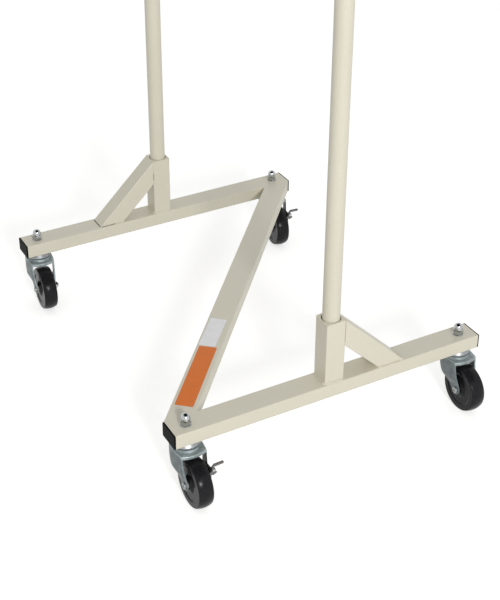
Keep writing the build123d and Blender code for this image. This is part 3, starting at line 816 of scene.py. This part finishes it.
def weld_group(name, beads, material, unevenness):
    """Joins the beads of one joint into one piece, a little uneven, in its material slot."""
    deselect_all()
    for bead in beads:
        bead.select_set(True)
    bpy.context.view_layer.objects.active = beads[0]
    bpy.ops.object.join()
    group = bpy.context.object
    group.name = group.data.name = name
    # the welder's hand wavers every few millimetres
    apply_modifier(group, "DISPLACE", texture=clouds(name + "_swell", 7 * MM),
                   texture_coords="LOCAL", strength=unevenness, mid_level=0.5)
    bpy.ops.object.shade_smooth_by_angle(angle=radians(50))
    group.data.materials.append(material)
    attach(group, BASE)


def painted(name):
    """The finish that a CAD node already wears."""
    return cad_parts[name].material_slots[0].material


class RACK_OT_post_welds(bpy.types.Operator):
    """Welds round the feet of both posts"""

    bl_idname = "rack.post_welds"
    bl_label = "Post welds"

    def execute(self, context):
        radius = context.scene.rack_welds.post_bead
        uneven = context.scene.rack_welds.unevenness
        for side in ("near", "far"):
            low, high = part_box(f"{side}_post")
            left, right = low.x + CORNER_GAP, high.x - CORNER_GAP
            front, back = low.y + CORNER_GAP, high.y - CORNER_GAP
            seams = [((left, y, low.z), (right, y, low.z)) for y in (low.y, high.y)]
            seams += [((x, front, low.z), (x, back, low.z)) for x in (low.x, high.x)]
            beads = [weld_bead(start, end, radius) for start, end in seams]
            weld_group(f"{side}_post_welds", beads, painted(f"{side}_post"), uneven)
        return {"FINISHED"}


class RACK_OT_gusset_welds(bpy.types.Operator):
    """Welds at both ends of both gussets"""

    bl_idname = "rack.gusset_welds"
    bl_label = "Gusset welds"

    def execute(self, context):
        radius = context.scene.rack_welds.gusset_bead
        uneven = context.scene.rack_welds.unevenness
        # the near gusset runs to the right of its post, the far one to the left
        for side, reach in (("near", 1), ("far", -1)):
            low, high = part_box(f"{side}_gusset")
            toe = high.x if reach > 0 else low.x
            head = low.x if reach > 0 else high.x
            heel = toe - reach * GUSSET_FOOT
            throat = low.z + GUSSET_THROAT
            tack = reach * GUSSET_TACK
            front, back = low.y + CORNER_GAP, high.y - CORNER_GAP
            seams = [
                ((heel, front, low.z), (heel, back, low.z)),
                ((head, front, throat), (head, back, throat)),
            ]
            # the far gusset's toe was left unwelded
            if side == "near":
                seams.append(((toe, front, low.z), (toe, back, low.z)))
                seams.append(((toe - tack, low.y, low.z), (toe, low.y, low.z)))
            for y in (low.y, high.y):
                seams.append(((heel, y, low.z), (heel + tack, y, low.z)))
                seams.append(((head, y, throat), (head, y, throat + GUSSET_TACK)))
            beads = [weld_bead(start, end, radius) for start, end in seams]
            weld_group(f"{side}_gusset_welds", beads, painted(f"{side}_gusset"), uneven)
        return {"FINISHED"}


class RACK_OT_open_seams(bpy.types.Operator):
    """Painted shade in the seams of the far gusset that the welder left open"""

    bl_idname = "rack.open_seams"
    bl_label = "Open seams"

    def execute(self, context):
        welds = context.scene.rack_welds
        low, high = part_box("far_gusset")
        front, back = low.y + EDGE_GAP, high.y - EDGE_GAP
        throat = low.z + GUSSET_THROAT
        crack_low, crack_high = throat + 10 * MM, throat + 28 * MM
        # painted shade across the toe, beside it, and up a fine crack by the post, each with
        # its share of the width
        seams = (
            ((low.x, front, low.z), (low.x, back, low.z), 1.0),
            ((low.x + EDGE_GAP, low.y, low.z), (low.x + welds.open_run, low.y, low.z), 0.8),
            ((high.x, low.y, crack_low), (high.x, low.y, crack_high), 0.5),
        )
        beads = [weld_bead(start, end, welds.open_seam * share) for start, end, share in seams]
        weld_group("far_gusset_painted_seam_shade", beads, shaded_seam_finish("painted seam shade", welds.seam_shade_colour),
                   welds.open_seam / 3)
        return {"FINISHED"}


class RACK_OT_brace_welds(bpy.types.Operator):
    """Welds up the corners where the diagonal meets the rails"""

    bl_idname = "rack.brace_welds"
    bl_label = "Diagonal welds"

    def execute(self, context):
        radius = context.scene.rack_welds.brace_bead
        uneven = context.scene.rack_welds.unevenness
        low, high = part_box("diagonal_brace")
        middle, along, across, width = brace_frame()
        beads = []
        # the other two corners lie flush with the rails' ends
        for rail_face, side in ((low.y, -1), (high.y, 1)):
            on_edge = middle + across * side * width / 2
            foot = on_edge + along * ((rail_face - on_edge.y) / along.y)
            beads.append(weld_bead(
                (foot.x, foot.y, low.z + EDGE_GAP), (foot.x, foot.y, high.z - EDGE_GAP),
                radius))
        weld_group("brace_welds", beads, painted("diagonal_brace"), uneven)
        return {"FINISHED"}


class RACK_OT_brace_seams(bpy.types.Operator):
    """Top welds of the diagonal's mitres, ground off nearly level with the tubes"""

    bl_idname = "rack.brace_seams"
    bl_label = "Diagonal's ground welds"

    def execute(self, context):
        welds = context.scene.rack_welds
        low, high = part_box("diagonal_brace")
        middle, along, _, width = brace_frame()
        length = width / along.y
        cell = welds.seam_width / 3
        thickness = 4 * welds.seam_proud
        strips = []
        for rail_face in (low.y, high.y):
            foot = middle + along * ((rail_face - middle.y) / along.y)
            deselect_all()
            bpy.ops.mesh.primitive_grid_add(
                x_subdivisions=round(length / cell), y_subdivisions=4, size=1)
            strip = context.object
            bpy.ops.object.mode_set(mode="EDIT")
            bpy.ops.mesh.select_all(action="SELECT")
            bpy.ops.transform.resize(value=(length, welds.seam_width, 1))
            # the grinder feathers both long edges down to the tubes
            select_points(strip, lambda p: abs(p.y) < 0.4 * welds.seam_width)
            bpy.ops.transform.translate(value=(0, 0, welds.seam_proud))
            bpy.ops.object.mode_set(mode="OBJECT")
            apply_modifier(strip, "SOLIDIFY", thickness=thickness, offset=-1.0)
            strip.location = foot
            settle(strip)
            strips.append(strip)
        weld_group("brace_seams", strips, painted("diagonal_brace"), welds.seam_proud)
        return {"FINISHED"}


# --- operator: stage --------------------------------------------------------
def seen_or_mirrored(tree):
    """1 for rays from the camera, a mirror or glass; 0 for the light on the object."""
    rays = add_node(tree, "ShaderNodeLightPath").outputs
    either = add_node(tree, "ShaderNodeMath", {
        0: rays["Is Camera Ray"], 1: rays["Is Glossy Ray"]}, operation="MAXIMUM")
    return add_node(tree, "ShaderNodeMath", {
        0: either.outputs[0], 1: rays["Is Transmission Ray"]},
        operation="MAXIMUM").outputs[0]


def light_room(strength):
    """A white room that is seen at full white and lights the object evenly."""
    world = bpy.data.worlds.new("studio")
    world.use_nodes = True
    tree = world.node_tree
    tree.nodes.clear()
    white = (1.0, 1.0, 1.0, 1.0)
    lit = add_node(tree, "ShaderNodeBackground", {"Color": white, "Strength": strength})
    seen = add_node(tree, "ShaderNodeBackground", {"Color": white, "Strength": 1.0})
    both = add_node(tree, "ShaderNodeMixShader", {
        0: seen_or_mirrored(tree), 1: lit.outputs[0], 2: seen.outputs[0]})
    add_node(tree, "ShaderNodeOutputWorld", {"Surface": both.outputs[0]})
    bpy.context.scene.world = world


def direction(azimuth, elevation):
    """Azimuth 0 is straight in front of the rack, positive to the right."""
    level = cos(elevation)
    return Vector((sin(azimuth) * level, -cos(azimuth) * level, sin(elevation)))


def aim(name, data, place, back):
    """A lamp or camera at its place, with its back to the given direction."""
    holder = bpy.data.objects.new(name, data)
    holder.location = place
    holder.rotation_euler = back.to_track_quat("Z", "Y").to_euler()
    bpy.context.scene.collection.objects.link(holder)
    return holder


def light_back(studio):
    """A wide soft light from far off, behind the rack."""
    lamp = bpy.data.lights.new("back", "SUN")
    lamp.energy = studio.back
    lamp.angle = studio.back_spread
    away = direction(studio.back_turn, studio.back_height)
    aim("back", lamp, away, away)


def light_key(studio, target):
    """A soft lamp a few metres off, so that the near side gets more of it."""
    lamp = bpy.data.lights.new("key", "AREA")
    lamp.size = studio.key_size
    lamp.energy = studio.key
    away = direction(studio.key_turn, studio.key_height)
    aim("key", lamp, target + away * studio.key_distance, away)


def lay_plane(name, size, place):
    """A flat square sheet, for the studio only."""
    deselect_all()
    bpy.ops.mesh.primitive_plane_add(size=size, location=place)
    plane = bpy.context.object
    plane.name = name
    settle(plane)
    return plane


def hang_flag(studio, target):
    """A black cloth overhead that only polished metal mirrors, for contrast on the nuts."""
    flag = lay_plane("flag", studio.flag_size, target + Vector((0, 0, studio.flag_height)))
    for ray in ("camera", "diffuse", "transmission", "shadow", "volume_scatter"):
        setattr(flag, f"visible_{ray}", False)
    material, tree = new_material("black cloth")
    cloth = add_node(tree, "ShaderNodeBsdfDiffuse", {"Color": rgba(linear("#191919"))})
    add_node(tree, "ShaderNodeOutputMaterial", {"Surface": cloth.outputs[0]})
    flag.data.materials.append(material)


def lay_floor(studio):
    """A matt pale floor that keeps the rack's shadow and is seen near white."""
    floor = lay_plane("floor", studio.floor_size, (0, 0, cad_box[0][2]))
    material, tree = new_material("pale studio floor")
    surface = add_node(tree, "ShaderNodeBsdfPrincipled", {
        "Base Color": rgba(studio.floor_colour), "Roughness": 0.9})
    glow = add_node(tree, "ShaderNodeMath", {
        0: seen_or_mirrored(tree), 1: studio.floor_lift}, operation="MULTIPLY")
    own = add_node(tree, "ShaderNodeEmission", {"Strength": glow.outputs[0]})
    both = add_node(tree, "ShaderNodeAddShader", {
        0: surface.outputs[0], 1: own.outputs[0]})
    add_node(tree, "ShaderNodeOutputMaterial", {"Surface": both.outputs[0]})
    floor.data.materials.append(material)


def stand_camera(studio):
    """A long lens that looks down on the diagonal, with the uprights running out of view."""
    view = bpy.data.cameras.new("camera")
    view.lens = studio.lens
    view.sensor_width = 36
    view.shift_x = studio.aside
    view.shift_y = studio.drop
    view.clip_end = 100
    target = brace_frame()[0] + Vector((studio.target_across, studio.target_back, 0))
    back = direction(studio.azimuth, studio.elevation)
    return aim("camera", view, target + back * studio.distance, back)


class RACK_OT_stage(bpy.types.Operator):
    """Sets the floor, the lamps, the room and the camera"""

    bl_idname = "rack.stage"
    bl_label = "Studio"

    def execute(self, context):
        studio = context.scene.rack_studio
        post_low, post_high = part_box("near_post")
        post_middle = (post_low + post_high) / 2
        lay_floor(studio)
        light_room(studio.room)
        light_key(studio, post_middle)
        light_back(studio)
        hang_flag(studio, post_middle)
        context.scene.camera = stand_camera(studio)
        context.scene.view_settings.view_transform = "Standard"
        return {"FINISHED"}


# --- panel and registration -------------------------------------------------
OPERATORS = (
    RACK_OT_coat_frame, RACK_OT_plate_forks, RACK_OT_plate_hardware, RACK_OT_finish_wheels,
    RACK_OT_finish_caps, RACK_OT_finish_nylon, RACK_OT_orange_label, RACK_OT_white_label,
    RACK_OT_post_welds, RACK_OT_gusset_welds, RACK_OT_open_seams, RACK_OT_brace_welds,
    RACK_OT_brace_seams, RACK_OT_stage,
)
SETTINGS = {
    "rack_finishes": RackFinishes,
    "rack_labels": RackLabels,
    "rack_welds": RackWelds,
    "rack_studio": RackStudio,
}


class RACK_PT_steps(bpy.types.Panel):
    """Lists the rack's pieces and its studio"""

    bl_idname = "RACK_PT_steps"
    bl_label = "Rolling rack"
    bl_space_type = "VIEW_3D"
    bl_region_type = "UI"
    bl_category = "Rack"

    def draw(self, context):
        for step in OPERATORS:
            self.layout.operator(step.bl_idname)
        for name, group in SETTINGS.items():
            box = self.layout.box()
            for setting in group.__annotations__:
                box.prop(getattr(context.scene, name), setting)


def register():
    for made in (*SETTINGS.values(), *OPERATORS, RACK_PT_steps):
        bpy.utils.register_class(made)
    for name, group in SETTINGS.items():
        setattr(bpy.types.Scene, name, bpy.props.PointerProperty(type=group))


def unregister():
    for name in SETTINGS:
        delattr(bpy.types.Scene, name)
    for made in reversed((*SETTINGS.values(), *OPERATORS, RACK_PT_steps)):
        bpy.utils.unregister_class(made)


def main():
    register()
    for step in OPERATORS:
        group, name = step.bl_idname.split(".")
        getattr(getattr(bpy.ops, group), name)()


if __name__ == "__main__":
    main()
